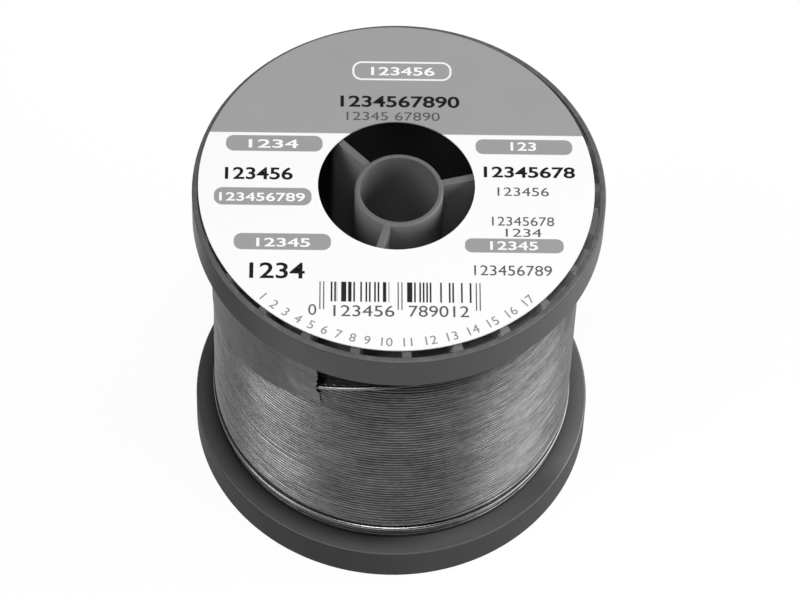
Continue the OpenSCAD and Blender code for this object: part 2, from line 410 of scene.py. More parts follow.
def moulded_plastic():
    finish = Finish("moulded_plastic")
    place = finish.place()
    flat = finish.node("ShaderNodeNewGeometry", output="Normal")
    sockets = {"Radius": EDGE_RADIUS * MM}
    rounded = finish.node("ShaderNodeBevel", {"samples": EDGE_SAMPLES}, sockets)
    sockets = {"Vector": rounded, "Vector_001": flat}
    lean = finish.node("ShaderNodeVectorMath", {"operation": "DOT_PRODUCT"}, sockets, "Value")
    edge = (1.0 - lean).eased(*EDGE_LEAN)
    cloud = finish.noise(place, scale=0.09, detail=3.0)
    grain = finish.noise(place, scale=5.0)
    scuff = finish.noise(place, scale=0.7, detail=4.0, roughness=0.7, spread=(0.40, 0.72))
    zones = moulding_zones(place, flat)
    # The edges are worn paler, and the top land of the rim gets a painted sheen.
    wear_and_sheen = (edge * scuff * EDGE_WEAR).largest(zones.land * scuff.scaled(LAND_SHEEN, 1.0))
    colour = plastic_colour(finish, zones, cloud, wear_and_sheen)
    roughness = SKIN_ROUGHNESS + cloud * CLOUD_ROUGHER + grain * GRAIN_ROUGHER
    roughness = roughness + edge * EDGE_ROUGHER + (zones.foot + zones.brow) * DARK_ROUGHER
    normal = finish.bump(grain, GRAIN_DEPTH, rounded)
    return finish.set(Base_Color=colour, Roughness=roughness, Normal=normal, Specular_IOR_Level=0.36)


plastic = moulded_plastic()
for name in ("lower_spool_half", "upper_spool_half"):
    wear(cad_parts[name], plastic)
print("plastic on the two halves")

# %% [markdown]
# The print on the label has sharp edges at every size. An image would blur when the camera comes
# near, so the print is made of distances: a bar is every point nearer than its half height to a
# short line, and a block is every point within its sides.
# Places on the label are millimetres from its centre, along and across the lines of print.

# %% Print from distances
BAR_CORNER = 0.42
PRINT_EDGE = 0.06


def bar_distance(across, up, left, right, low, high):
    """How far a point of the label is outside a bar with rounded ends."""
    corner = (high - low) * BAR_CORNER
    beside = (abs(across - (left + right) / 2) - ((right - left) / 2 - corner)).largest(0.0)
    above = (abs(up - (low + high) / 2) - ((high - low) / 2 - corner)).largest(0.0)
    return (beside * beside + above * above).root() - corner


def block_distance(across, up, left, right, low, high):
    """How far a point of the label is outside a block with square corners."""
    beside = abs(across - (left + right) / 2) - (right - left) / 2
    return beside.largest(abs(up - (low + high) / 2) - (high - low) / 2)


def printed(distance):
    """1 where the print is, with an edge as soft as ink on paper."""
    return 1.0 - distance.eased(-PRINT_EDGE, PRINT_EDGE)


print("soft edge of the print in mm:", 2 * PRINT_EDGE)

# %% [markdown]
# The label is a ring of coated white paper with a grey band across its upper part, rounded grey
# heading bars and a block of plain stripes. The stripes come from a random number for each narrow
# step, and faint fibres keep the white from looking like plastic.
# A bar or block is given by its left, right, low and high edge.

# %% Label paper
label_low, label_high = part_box("face_label")
LABEL_CENTRE = (label_low + label_high) / 2 / MM
PRINT_TURN = math.radians(12.83)
PAPER_WHITE = grey(0.88)
PAPER_FIBRE = grey(0.5)
BAND_GREY = grey(0.34)
BAND_DEEP = grey(0.28)
BAR_GREY = grey(0.31)
INK_BLACK = grey(0.012)
BAND_EDGE = 9.6
HEADING_BARS = [
    (-26.05, -11.30, 6.10, 9.07),
    (-27.70, -12.90, -4.00, -0.76),
    (-24.55, -9.90, -12.20, -9.20),
    (12.10, 26.90, 6.00, 8.80),
    (10.30, 25.20, -12.30, -9.70),
]
BAND_BAR = (-6.65, 8.36, 20.00, 23.30)
BAND_BAR_LINE = 0.3
STRIPES = (-11.20, 12.20, -21.50, -17.90)
STRIPE_STEP = 0.26
STRIPE_CHANCE = (0.54, 0.56)
PAIR_LOW = -22.9
PAIR_ROOM = 1.0
PAIR_HALF = 0.28
PAIR_LINE = 0.17
FIBRE_SHARE = 0.06
BAND_FIBRE = 0.25
BAND_CLOUD = 0.35
FIBRE_DEPTH = 0.004
PAPER_ROUGHNESS = 0.42
FIBRE_ROUGHER = 0.1
BAND_SMOOTHER = 0.06


def stripe_block(finish, across, up):
    """Random stripes, with a pair of longer lines at both ends and in the middle."""
    left, right, _, high = STRIPES
    step = (across / STRIPE_STEP).combine("FLOOR", 0.0)
    chance = finish.node("ShaderNodeTexWhiteNoise", {"noise_dimensions": "1D"}, {"W": step}, "Value")
    stripe = chance.eased(*STRIPE_CHANCE) * printed(block_distance(across, up, *STRIPES))
    for middle in (left, (left + right) / 2, right):
        sides = (middle - PAIR_ROOM, middle + PAIR_ROOM, PAIR_LOW, high)
        near = printed(block_distance(across, up, *sides))
        pair = printed(abs(abs(across - middle) - PAIR_HALF) - PAIR_LINE / 2)
        stripe = stripe * (1.0 - near) + pair * near
    return stripe


def label_paper():
    finish = Finish("label_paper")
    place = finish.place()
    x, y, _ = (place - tuple(LABEL_CENTRE)).parts()
    across = x * math.cos(PRINT_TURN) + y * math.sin(PRINT_TURN)
    up = y * math.cos(PRINT_TURN) - x * math.sin(PRINT_TURN)
    fibre = finish.noise(place, scale=3.0, detail=4.0, roughness=0.6)
    cloud = finish.noise(place, scale=0.15)
    colour = finish.blend(fibre * FIBRE_SHARE, PAPER_WHITE, PAPER_FIBRE)
    band = printed(BAND_EDGE - up)
    band_tone = finish.blend(fibre * BAND_FIBRE + cloud * BAND_CLOUD, BAND_GREY, BAND_DEEP)
    colour = finish.blend(band, colour, band_tone)
    for bar in HEADING_BARS:
        colour = finish.blend(printed(bar_distance(across, up, *bar)), colour, BAR_GREY)
    line = abs(bar_distance(across, up, *BAND_BAR)) - BAND_BAR_LINE / 2
    colour = finish.blend(printed(line), colour, PAPER_WHITE)
    colour = finish.blend(stripe_block(finish, across, up), colour, INK_BLACK)
    roughness = PAPER_ROUGHNESS + fibre * FIBRE_ROUGHER - band * BAND_SMOOTHER
    return finish.set(Base_Color=colour, Roughness=roughness, Normal=finish.bump(fibre, FIBRE_DEPTH))


wear(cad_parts["face_label"], label_paper())
print("label centre in mm:", [round(c, 2) for c in LABEL_CENTRE])

# %% [markdown]
# Many pieces here are a closed section carried along a path: a wire, a ring, a strip of film.
# One helper builds them all from rings of points. A path that ends gets a cap of four-sided faces,
# and a path that closes joins its last ring to its first.

# %% Swept meshes
EDGE_ANGLE = 40.0


def link_mesh(name, points, faces, sharp):
    """A smooth-shaded mesh object from points in millimetres, with faces turned outwards."""
    mesh = bpy.data.meshes.new(name)
    mesh.from_pydata((np.asarray(points) * MM).tolist(), [], faces)
    work = bmesh.new()
    work.from_mesh(mesh)
    bmesh.ops.recalc_face_normals(work, faces=work.faces)
    work.to_mesh(mesh)
    work.free()
    mesh.shade_smooth()
    mesh.set_sharp_from_angle(angle=math.radians(sharp))
    piece = bpy.data.objects.new(name, mesh)
    bpy.context.scene.collection.objects.link(piece)
    return piece


def sweep(name, rings, closed=False, sharp=EDGE_ANGLE):
    """A piece from rings of points, shaped (ring, point of the section, xyz)."""
    count, sides, _ = rings.shape
    faces = []
    for ring in range(count if closed else count - 1):
        here, there = ring * sides, (ring + 1) % count * sides
        for side in range(sides):
            after = (side + 1) % sides
            faces.append((here + side, here + after, there + after, there + side))
    if not closed:
        for start in (0, (count - 1) * sides):
            for side in range(sides // 2 - 1):
                far = sides - 1 - side
                faces.append((start + side, start + side + 1, start + far - 1, start + far))
    return link_mesh(name, rings.reshape(-1, 3), faces, sharp)


def paint(piece, name, values):
    """Keeps one number for every point of a piece, which a finish can read by its name."""
    numbers = piece.data.attributes.new(name, "FLOAT", "POINT")
    numbers.data.foreach_set("value", np.asarray(values, float).ravel())


def round_axis(radius, angle, height):
    """Points from a radius, an angle in degrees and a height, each a number or an array."""
    turn = np.radians(angle)
    spread = np.broadcast_arrays(radius * np.cos(turn), radius * np.sin(turn), height)
    return np.stack(spread, axis=-1)


def smooth_step(value, start, end):
    share = np.clip((np.asarray(value, float) - start) / (end - start), 0.0, 1.0)
    return share * share * (3 - 2 * share)


print("sweep ready")

# %% [markdown]
# The wire is one long tube that climbs round the spool, turn beside turn. An array of rings would
# look too even and wouldn't be one wire, so the path is worked out point by point.
# Real turns never lie quite even: each step up varies a little and the line wanders by some
# hundredths of a millimetre. The helpers give that wander, the height of the free end, and the
# hollow above the free end, where the turns have sunk.

# %% Wire shapes
WIRE_D = 0.70
WOUND_R = 28.5
PATH_R = WOUND_R - WIRE_D / 2
FLANGE_H = 6.4
WIND_GAP = 0.1
FIRST_Z = FLANGE_H + WIND_GAP + WIRE_D / 2
LAYER_TOP = 51.7
TAIL_TURN = -69.5
TAIL_ARC = 38.5
TAIL_END = TAIL_TURN - TAIL_ARC
TAIL_DROP = 6.4
TAIL_BEND = 1.6
HOLLOW_DEPTH = 0.85
HOLLOW_STEP = 0.45
HOLLOW_ARC = 40
LAST_KNOT = 1.001


def wander(length, knots, size, seed):
    """A smooth random line through evenly spaced knots, from -size to size."""
    draw = random.Random(seed)
    values = np.array([draw.uniform(-size, size) for _ in range(knots)])
    places = np.linspace(0, knots - LAST_KNOT, length)
    left = places.astype(int)
    share = smooth_step(places - left, 0.0, 1.0)
    return values[left] * (1 - share) + values[left + 1] * share


def tail_height(angle):
    """Height of the free end, which leaves the top turn and comes down to the left."""
    past = np.clip(TAIL_TURN - np.asarray(angle, float), 0, TAIL_ARC)
    return LAYER_TOP - TAIL_DROP * (past / TAIL_ARC) ** TAIL_BEND


def hollow(angle, height, start):
    """Share of the hollow above the free end: 0 outside it, 1 inside, from a start beside that end."""
    turned = (np.asarray(angle, float) + 180) % 360 - 180
    rise = smooth_step(turned, TAIL_END, TAIL_END - HOLLOW_ARC)
    edge = tail_height(turned) * (1 - rise) + LAYER_TOP * rise + start
    return smooth_step(height - edge, 0.0, HOLLOW_STEP)


print("free end drops in mm:", TAIL_DROP)

# %% [markdown]
# The lowest turns have slipped and stand loose, with a dark line above them. One of them stands
# proud of the layer and catches the light, and a painted highlight brightens its front. The last
# turn leaves the layer, drops over its neighbours and ends under the film, with a painted highlight
# along it. Spans along the path are counted in turns. A drift is a size, the waves in a turn, how far
# they slide from turn to turn, and a lag.

# %% Wire path
FULL_TURNS = 62
TURN_POINTS = 128
WIRE_SIDES = 8
WIRE_ANGLE = 80.0
INNER_TURN = 110.0
INNER_DIVE = 1.2
INNER_SPAN = 0.06
SLIP_TURN = 4.06
SLIP_GAP = 0.36
SLIP_SPAN = 0.08
SPLIT_TURN = 4.55
SPLIT_GAP = 0.32
SPLIT_SPAN = 0.09
LOOSE_SPAN = 0.05
PROUD_STEP = 0.26
UNDER_STEP = 0.18
SETTLE_TURNS = (5.5, 8.0)
LEAVE_TURNS = (2, 0.3)
DRIFTS = [(0.018, 3, 0.8, 0), (0.014, 5, -1.1, 1)]
HEIGHT_WANDER = 0.036
HEIGHT_KNOTS = FULL_TURNS * 5
HEIGHT_SEED = 11
RADIUS_WANDER = 0.035
RADIUS_KNOTS = FULL_TURNS * 4
RADIUS_SEED = 23
FREE_SPAN = (0.10, 0.03)
FREE_GAP = 0.05
WIRE_HOLLOW = -0.55
# Painted highlight: where it is brightest on the proud turn, how it fades, and along the free end.
GLINT_TURN = -79.0
GLINT_ARC = (6, 26)
GLINT_LEAST = 0.25
TAIL_SHINE = 0.6
TAIL_SHINE_ARC = (3, 20)


def wound_height(turn, angle, layer_turns):
    """Height of the wound wire: even steps, the two gaps of the loose turns, and small errors."""
    slip = SLIP_GAP * smooth_step(turn, SLIP_TURN - SLIP_SPAN, SLIP_TURN + SLIP_SPAN)
    split = SPLIT_GAP * smooth_step(turn, SPLIT_TURN - SPLIT_SPAN, SPLIT_TURN + SPLIT_SPAN)
    pitch = (LAYER_TOP - FIRST_Z - SLIP_GAP - SPLIT_GAP) / layer_turns
    height = FIRST_Z + pitch * np.minimum(turn, layer_turns) + slip + split
    bearing = np.radians(angle)
    errors = wander(len(turn), HEIGHT_KNOTS, HEIGHT_WANDER, HEIGHT_SEED)
    drift = sum(size * np.sin(waves * bearing + slide * turn + lag) for size, waves, slide, lag in DRIFTS)
    leave_start, leave_end = (layer_turns - before for before in LEAVE_TURNS)
    settled = smooth_step(turn, *SETTLE_TURNS) * (1 - smooth_step(turn, leave_start, leave_end))
    return height + settled * (drift + errors)


def layer_path():
    """Radius, angle and height of the wire's middle line, how sunken it is, and its painted highlight."""
    layer_turns = FULL_TURNS + (INNER_TURN - TAIL_TURN) % 360 / 360
    all_turns = layer_turns + TAIL_ARC / 360
    turn = np.linspace(0, all_turns, int(all_turns * TURN_POINTS) + 1)
    angle = INNER_TURN - 360 * turn
    height = wound_height(turn, angle, layer_turns)
    free = smooth_step(turn, layer_turns - FREE_SPAN[0], layer_turns + FREE_SPAN[1])
    sunk = hollow(angle, height, WIRE_HOLLOW) * (1 - free)
    under = 1 - smooth_step(turn, SLIP_TURN - 1 - LOOSE_SPAN, SLIP_TURN - 1 + LOOSE_SPAN)
    proud = (1 - under) * (1 - smooth_step(turn, SLIP_TURN - LOOSE_SPAN, SLIP_TURN + LOOSE_SPAN))
    radius = PATH_R + wander(len(turn), RADIUS_KNOTS, RADIUS_WANDER, RADIUS_SEED)
    radius = radius - HOLLOW_DEPTH * sunk + PROUD_STEP * proud - UNDER_STEP * under
    radius = radius - INNER_DIVE * (1 - smooth_step(turn, 0.0, INNER_SPAN))
    radius = radius + (WIRE_D + FREE_GAP) * free
    past = np.maximum(turn - layer_turns, 0) * 360
    height = height - TAIL_DROP * (past / TAIL_ARC) ** TAIL_BEND
    # A painted highlight, brightest on the proud turn where it faces the camera, and along the free end.
    aside = np.abs((angle - GLINT_TURN + 180) % 360 - 180)
    glint = GLINT_LEAST + (1 - GLINT_LEAST) * (1 - smooth_step(aside, *GLINT_ARC))
    highlight = np.maximum(proud * glint, TAIL_SHINE * smooth_step(past, *TAIL_SHINE_ARC))
    return radius, angle, height, sunk, highlight


def tube_rings(radius, angle, height, thick, sides):
    """Round sections along a path, each square to it."""
    middle = round_axis(radius, angle, height)
    along = np.gradient(middle, axis=0)
    along /= np.linalg.norm(along, axis=1, keepdims=True)
    outward = round_axis(1.0, angle, 0.0)
    outward -= along * np.sum(outward * along, axis=1, keepdims=True)
    outward /= np.linalg.norm(outward, axis=1, keepdims=True)
    upward = np.cross(along, outward)
    around = (np.arange(sides) * 2 * math.pi / sides)[None, :, None]
    reach = np.cos(around) * outward[:, None] + np.sin(around) * upward[:, None]
    return middle[:, None] + reach * thick / 2


*wire_line, wire_sunk, wire_highlight = layer_path()
wire = sweep("wound_wire", tube_rings(*wire_line, WIRE_D, WIRE_SIDES), sharp=WIRE_ANGLE)
# The hollow's share gives the wire a painted shade there, and the other share a painted highlight.
paint(wire, "sunken", np.repeat(wire_sunk, WIRE_SIDES))
paint(wire, "highlight", np.repeat(wire_highlight, WIRE_SIDES))
print("wire faces:", len(wire.data.polygons))

# %% [markdown]
# Under the outer layer lies the rest of the wire. Only two parts of it show: the dark ground
# between the turns, and the sunken turns just under the upper flange, where the outer layer stops
# short. The ground is a plain ring with a step, and the sunken turns are a short second tube.

# %% Ground and sunken turns
GROUND_INNER_R = 17.6
GROUND_R = PATH_R + 0.05
GROUND_HOLLOW = -0.6
FLANGE_TOP = 55.2
SUNK_TURNS = 5
SUNK_FIRST_R = 27.0
SUNK_STEP = 0.32
SUNK_START = 0.25
SUNK_ROOM = 0.75
SUNK_SPAN = 0.05
SUNK_WANDER = 0.10
SUNK_KNOTS = SUNK_TURNS * 3
SUNK_SEED = 5
RING_POINTS = 240
RING_LEVELS = 24
EDGE_LEVELS = 72
EDGE_START = 43.0


def ground_ring():
    """A ring from the barrel out to the back of the outer turns, with the hollow pressed into it."""
    low = FLANGE_H + WIND_GAP
    high = FLANGE_TOP - WIND_GAP
    valley = SUNK_FIRST_R - SUNK_STEP * SUNK_TURNS - WIRE_D / 2
    angles = (np.arange(RING_POINTS) * 360 / RING_POINTS)[:, None]
    plain = np.linspace(low, EDGE_START, RING_LEVELS, endpoint=False)
    levels = np.concatenate([plain, np.linspace(EDGE_START, high, EDGE_LEVELS)])[None]
    drop = (GROUND_R - valley) * smooth_step(levels, LAYER_TOP, high)
    sunk = hollow(angles, levels, 0.0)
    outer = round_axis(GROUND_R - np.maximum(HOLLOW_DEPTH * sunk, drop), angles, levels)
    inner = round_axis(GROUND_INNER_R, angles, levels[:, ::-1])
    ring = sweep("wound_ground", np.concatenate([outer, inner], axis=1), closed=True)
    # Painted shade: the ground in the hollow gets the dark solder grey.
    shade = hollow(angles, levels, GROUND_HOLLOW)
    paint(ring, "sunken", np.concatenate([shade, shade], axis=1))
    return ring


def sunken_turns():
    turn = np.linspace(0, SUNK_TURNS, SUNK_TURNS * TURN_POINTS + 1)
    height = LAYER_TOP + SUNK_START + turn * (FLANGE_TOP - LAYER_TOP - SUNK_ROOM) / SUNK_TURNS
    radius = SUNK_FIRST_R - SUNK_STEP * turn + wander(len(turn), SUNK_KNOTS, SUNK_WANDER, SUNK_SEED)
    shown = smooth_step(turn, 0, SUNK_SPAN) * (1 - smooth_step(turn, SUNK_TURNS - SUNK_SPAN, SUNK_TURNS))
    line = (radius - (1 - shown), INNER_TURN - 360 * turn, height)
    turns = sweep("sunken_turns", tube_rings(*line, WIRE_D, WIRE_SIDES), sharp=WIRE_ANGLE)
    # Painted shade: every sunken turn gets the dark solder grey.
    paint(turns, "sunken", np.ones(len(turns.data.vertices)))
    return turns


ground = ground_ring()
sunken = sunken_turns()
print("sunken turns:", SUNK_TURNS)

# %% [markdown]
# Solder is a soft tin alloy: silvery when fresh, then grey and a little dull. Drawn wire has
# streaks that run along it, so long streaks, short dashes and broad clouds are mixed, all round the
# axis. Painted shade makes the layer darker towards the upper flange. The numbers that were kept
# with the points give the sunken turns a painted shade and the proud turn and the free end a
# painted highlight.

# %% Solder wire finish
SOLDER_BRIGHT = (0.235, 0.235, 0.238)
SOLDER_DULL = (0.085, 0.085, 0.086)
# Painted shade for the sunken turns in the hollow and near the upper flange.
SOLDER_SHADE = grey(0.03)
# Painted highlight on the proud turn and the free end.
SOLDER_HIGHLIGHT = (0.30, 0.30, 0.304)
STREAK_SPREAD = (0.34, 0.66)
STREAK_SHARE = 0.45
DASH_SHARE = 0.3
CLOUD_SHARE = 0.25
# Painted shade: the layer gets darker towards the upper flange.
UPPER_SHADE_HEIGHT = (34.0, 48.0)
UPPER_SHADE_SHARE = 0.25
TOP_SHADE_HEIGHT = (48.0, 51.5)
TOP_SHADE_SHARE = 0.6
SHADE_HEIGHT = (46.0, 51.0)
SHADE_SHARE = 0.75
SOLDER_DEPTH = 0.003
SOLDER_ROUGHNESS = 0.33
STREAK_SMOOTHER = 0.06
FINE_ROUGHER = 0.06
HIGHLIGHT_SMOOTHER = 0.15
SUNKEN_ROUGHER = 0.4


def solder_wire():
    finish = Finish("solder_wire")
    place = finish.place()
    z = place.parts()[2]
    streak = finish.round_noise(place, around=5.0, upward=1.4, detail=4.0, roughness=0.6)
    cloud = finish.round_noise(place, around=2.2, upward=0.22, spread=(0.35, 0.65))
    dash = finish.round_noise(place, 20.0, 1.4, detail=3.0, roughness=0.65, spread=(0.35, 0.65))
    fine = finish.noise(place, scale=9.0)
    share = streak.eased(*STREAK_SPREAD) * STREAK_SHARE + dash * DASH_SHARE + cloud * CLOUD_SHARE
    # Painted shade towards the upper flange.
    share = share - z.eased(*UPPER_SHADE_HEIGHT) * UPPER_SHADE_SHARE - z.eased(*TOP_SHADE_HEIGHT) * TOP_SHADE_SHARE
    sunken = finish.node("ShaderNodeAttribute", {"attribute_name": "sunken"}, output="Fac")
    highlight = finish.node("ShaderNodeAttribute", {"attribute_name": "highlight"}, output="Fac")
    shaded = sunken.largest(z.eased(*SHADE_HEIGHT) * SHADE_SHARE)
    colour = finish.blend(share.clamped(), SOLDER_DULL, SOLDER_BRIGHT)
    # Painted shade on the sunken turns and near the upper flange.
    colour = finish.blend(shaded, colour, SOLDER_SHADE)
    # Painted highlight on the proud turn and the free end.
    colour = finish.blend(highlight, colour, SOLDER_HIGHLIGHT)
    roughness = SOLDER_ROUGHNESS - streak * STREAK_SMOOTHER + fine * FINE_ROUGHER
    roughness = roughness - highlight * HIGHLIGHT_SMOOTHER + sunken * SUNKEN_ROUGHER
    normal = finish.bump(fine, SOLDER_DEPTH)
    return finish.set(Base_Color=colour, Roughness=roughness, Metallic=1.0, Normal=normal)


solder = solder_wire()
for piece, nodes in ((wire, ["outer_turns"]), (ground, ["inner_winding"]), (sunken, [])):
    wear(piece, solder)
    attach(piece, "root")
    if nodes:
        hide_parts(*nodes)
print("solder on", wire.name, ground.name, sunken.name)

# %% [markdown]
# A strip of grey film holds the free end down. It was torn off on a saw edge, so both ends have
# small teeth. It lies flat on the turns, runs a little downhill, bridges the sunken turns and
# swells where the free end passes under it. Cloth physics could drape it, but a formula for its
# radius is quicker and gives the same sheet every time.

# %% Closing film
TAPE_START = -100.7
TAPE_LEN = 55.0
TAPE_W = 12.0
TAPE_T = 0.06
TAPE_FALL = 0.27
TAPE_LEVEL = 0.0018
TAPE_LEAN = math.radians(5)
TAPE_LOW = 42.4
TAPE_R = WOUND_R + 0.10
TOOTH_STEP = 0.75
TOOTH_DEPTH = 0.28
SWELL = 0.78
SWELL_TURN = (TAIL_END - 5, TAIL_END + 1)
SWELL_BESIDE = (0.25, 2.4)
DIP = 0.35
DIP_HEIGHT = (LAYER_TOP + 0.2, LAYER_TOP + 2.5)
RIDGE = 0.010
CREASE = 0.04
CREASE_ALONG = 0.55
CREASE_ACROSS = 0.35
CREASE_FADE = 0.5
CREASE_LAG = 0.6
ROWS_ALONG = 160
ROWS_ACROSS = 65


def film_surface(along, across):
    """Radius, angle and height of the film at distances along and across it."""
    arc = along + across * math.sin(TAPE_LEAN)
    angle = TAPE_START - np.degrees(arc / TAPE_R)
    height = TAPE_LOW - along * (TAPE_FALL - TAPE_LEVEL * along) + across * math.cos(TAPE_LEAN)
    beside = np.abs(height - tail_height(np.maximum(angle, TAIL_END)))
    swell = SWELL * smooth_step(angle, *SWELL_TURN) * (1 - smooth_step(beside, *SWELL_BESIDE))
    dip = DIP * smooth_step(height, *DIP_HEIGHT)
    ridge = RIDGE * np.sin(2 * math.pi * height / WIRE_D)
    fade = np.sin(across * CREASE_FADE + CREASE_LAG) ** 2
    crease = CREASE * np.sin(along * CREASE_ALONG + across * CREASE_ACROSS) * fade
    return TAPE_R + swell - dip + ridge + crease, angle, height


def closing_film():
    across = np.linspace(0, TAPE_W, ROWS_ACROSS)
    share = np.linspace(0, 1, ROWS_ALONG)
    tooth = TOOTH_DEPTH * np.abs((across / TOOTH_STEP) % 1 * 2 - 1)
    first = tooth[None, :]
    last = TAPE_LEN - tooth[None, :]
    along = first + (last - first) * share[:, None]
    radius, angle, height = film_surface(along, across[None, :])
    outer = round_axis(radius + TAPE_T, angle, height)
    inner = round_axis(radius, angle, height)
    rings = np.concatenate([outer, inner[:, ::-1]], axis=1)
    return sweep("closing_film", rings)


film = closing_film()
print("film faces:", len(film.data.polygons))

# %% [markdown]
# The film looks dark where it sticks to the wire and paler at its front end, where the free end
# lifts it. A see-through film over the wire might show that by itself. A solid film with two pairs
# of greys is simpler, and it was chosen for that: the paler pair at the lifted front end is painted
# light.

# %% Film finish
FILM_DEEP = grey(0.030)
FILM_PALE = grey(0.065)
# Painted light: the paler greys where the free end lifts the film.
FILM_LIT_DEEP = grey(0.10)
FILM_LIT_PALE = grey(0.17)
FILM_LIFT = (-15.0, -7.0)
FILM_SPREAD = (0.35, 0.65)
FILM_CLOUD = 0.6
FILM_STREAK = 0.4
FILM_DEPTH = 0.03
FILM_ROUGHNESS = 0.40
FILM_ROUGHER = 0.14


def tape_film():
    finish = Finish("tape_film")
    place = finish.place()
    x = place.parts()[0]
    cloud = finish.noise(place, scale=0.35, detail=3.0, roughness=0.6)
    streak = finish.round_noise(place, around=3.0, upward=1.2, detail=3.0)
    tone = (cloud * FILM_CLOUD + streak * FILM_STREAK).eased(*FILM_SPREAD)
    stuck = finish.blend(tone, FILM_DEEP, FILM_PALE)
    # Painted light at the lifted front end.
    lifted_lit = finish.blend(tone, FILM_LIT_DEEP, FILM_LIT_PALE)
    colour = finish.blend(x.eased(*FILM_LIFT), stuck, lifted_lit)
    roughness = FILM_ROUGHNESS + cloud * FILM_ROUGHER
    normal = finish.bump(streak, FILM_DEPTH)
    return finish.set(Base_Color=colour, Roughness=roughness, Normal=normal, Specular_IOR_Level=0.24)


wear(film, tape_film())
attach(film, "root")
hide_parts("end_tape")
print("film rides on root")

# %% [markdown]
# The label carries plain counting numbers. A text object gives the digits, stretched to the width
# of their place. A little thickness makes each a closed solid, and all of one ink are joined into
# one mesh that lies on the paper.
# The small numbers at the lower edge follow the round of the label, so each digit has its own turn.
# A line of the lists gives the digits, their place, their height, their width and their weight.

# %% Label numbers
INK_T = 0.01
INK_SPREAD = (0.35, 0.75)
INK_ROUGHNESS = (0.5, 0.6)
CAP_SHARE = 0.72
JOIN_DISTANCE = 1e-7
BOLD = 0.06
HALF_BOLD = 0.035
PLAIN = 0.0
NUMBERS_BLACK = [
    ("123456", -20.95, 1.90, 2.3, 10.3, BOLD),
    ("1234", -17.95, -16.0, 2.9, 8.3, BOLD),
    ("12345678", 20.25, 2.65, 2.1, 13.9, BOLD),
    ("1234567890", 0.55, 15.75, 2.2, 18.3, BOLD),
]
NUMBERS_GREY = [
    ("123456", 19.25, -1.0, 1.6, 7.8, PLAIN),
    ("12345678", 19.15, -6.5, 1.65, 9.4, PLAIN),
    ("1234", 19.2, -8.6, 1.5, 5.4, PLAIN),
    ("123456789", 17.5, -15.55, 1.85, 11.7, PLAIN),
    ("12345 67890", -0.5, 12.95, 1.6, 14.3, PLAIN),
    ("0", -12.6, -23.0, 1.95, 1.2, PLAIN),
    ("123456", -4.9, -23.15, 2.0, 9.1, PLAIN),
    ("789012", 6.3, -23.1, 2.0, 9.0, PLAIN),
]
NUMBERS_WHITE = [
    ("1234", -18.8, 7.5, 1.6, 7.6, HALF_BOLD),
    ("123456789", -20.4, -2.5, 1.6, 13.0, HALF_BOLD),
    ("12345", -17.1, -10.85, 1.6, 8.1, HALF_BOLD),
    ("123", 19.4, 7.5, 1.6, 3.9, HALF_BOLD),
    ("12345", 17.7, -11.0, 1.6, 7.2, HALF_BOLD),
    ("123456", 1.0, 21.6, 1.6, 9.8, HALF_BOLD),
]
EDGE_TEXT = " ".join(str(number) for number in range(1, 18))
EDGE_R = 28.7
EDGE_FROM = -134.0
EDGE_TO = -46.0
EDGE_CAP = 1.5


def edge_digits():
    """The digits along the lower edge, each with its place, its size and its turn."""
    step = (EDGE_TO - EDGE_FROM) / (len(EDGE_TEXT) - 1)
    for index, digit in enumerate(EDGE_TEXT):
        if digit != " ":
            turn = math.radians(EDGE_FROM + step * index)
            across, up = EDGE_R * math.cos(turn), EDGE_R * math.sin(turn)
            yield digit, across, up, EDGE_CAP, None, PLAIN, turn + math.pi / 2


def digits_mesh(text, cap, width, weight):
    """A thin solid of some digits about its own middle, cap high and width wide if that is given."""
    data = bpy.data.curves.new("digits", "FONT")
    data.body = text
    data.size = cap / CAP_SHARE * MM
    data.offset = weight * MM
    data.extrude = INK_T / 2 * MM
    letters = bpy.data.objects.new("digits", data)
    bpy.context.scene.collection.objects.link(letters)
    seen = letters.evaluated_get(bpy.context.evaluated_depsgraph_get())
    mesh = bpy.data.meshes.new_from_object(seen)
    bpy.data.objects.remove(letters)
    bpy.data.curves.remove(data)
    corners = np.array([corner.co for corner in mesh.vertices])
    low, high = corners.min(axis=0), corners.max(axis=0)
    tall = cap * MM / (high[1] - low[1])
    wide = width * MM / (high[0] - low[0]) if width else tall
    fit = Matrix.Diagonal((wide, tall, 1, 1))
    mesh.transform(fit @ Matrix.Translation(Vector(-(low + high) / 2)))
    return mesh


def print_numbers(name, lines, finish):
    """One mesh of all the numbers that are printed in one ink."""
    work = bmesh.new()
    paper = Matrix.Translation(Vector((LABEL_CENTRE.x, LABEL_CENTRE.y, label_high.z / MM)) * MM)
    paper = paper @ Matrix.Rotation(PRINT_TURN, 4, "Z")
    for text, across, up, cap, width, weight, *turn in lines:
        mesh = digits_mesh(text, cap, width, weight)
        place = Matrix.Translation(Vector((across, up, INK_T)) * MM)
        mesh.transform(paper @ place @ Matrix.Rotation(sum(turn), 4, "Z"))
        work.from_mesh(mesh)
        bpy.data.meshes.remove(mesh)
    bmesh.ops.remove_doubles(work, verts=work.verts, dist=JOIN_DISTANCE)
    bmesh.ops.recalc_face_normals(work, faces=work.faces)
    mesh = bpy.data.meshes.new(name)
    work.to_mesh(mesh)
    work.free()
    piece = bpy.data.objects.new(name, mesh)
    bpy.context.scene.collection.objects.link(piece)
    wear(piece, finish)
    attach(piece, "root")
    return piece


def printing_ink(name, deep, pale):
    finish = Finish(name)
    speck = finish.noise(finish.place(), scale=4.0, detail=3.0)
    colour = finish.blend(speck.eased(*INK_SPREAD), grey(deep), grey(pale))
    roughness = speck.scaled(*INK_ROUGHNESS)
    return finish.set(Base_Color=colour, Roughness=roughness, Specular_IOR_Level=0.12)


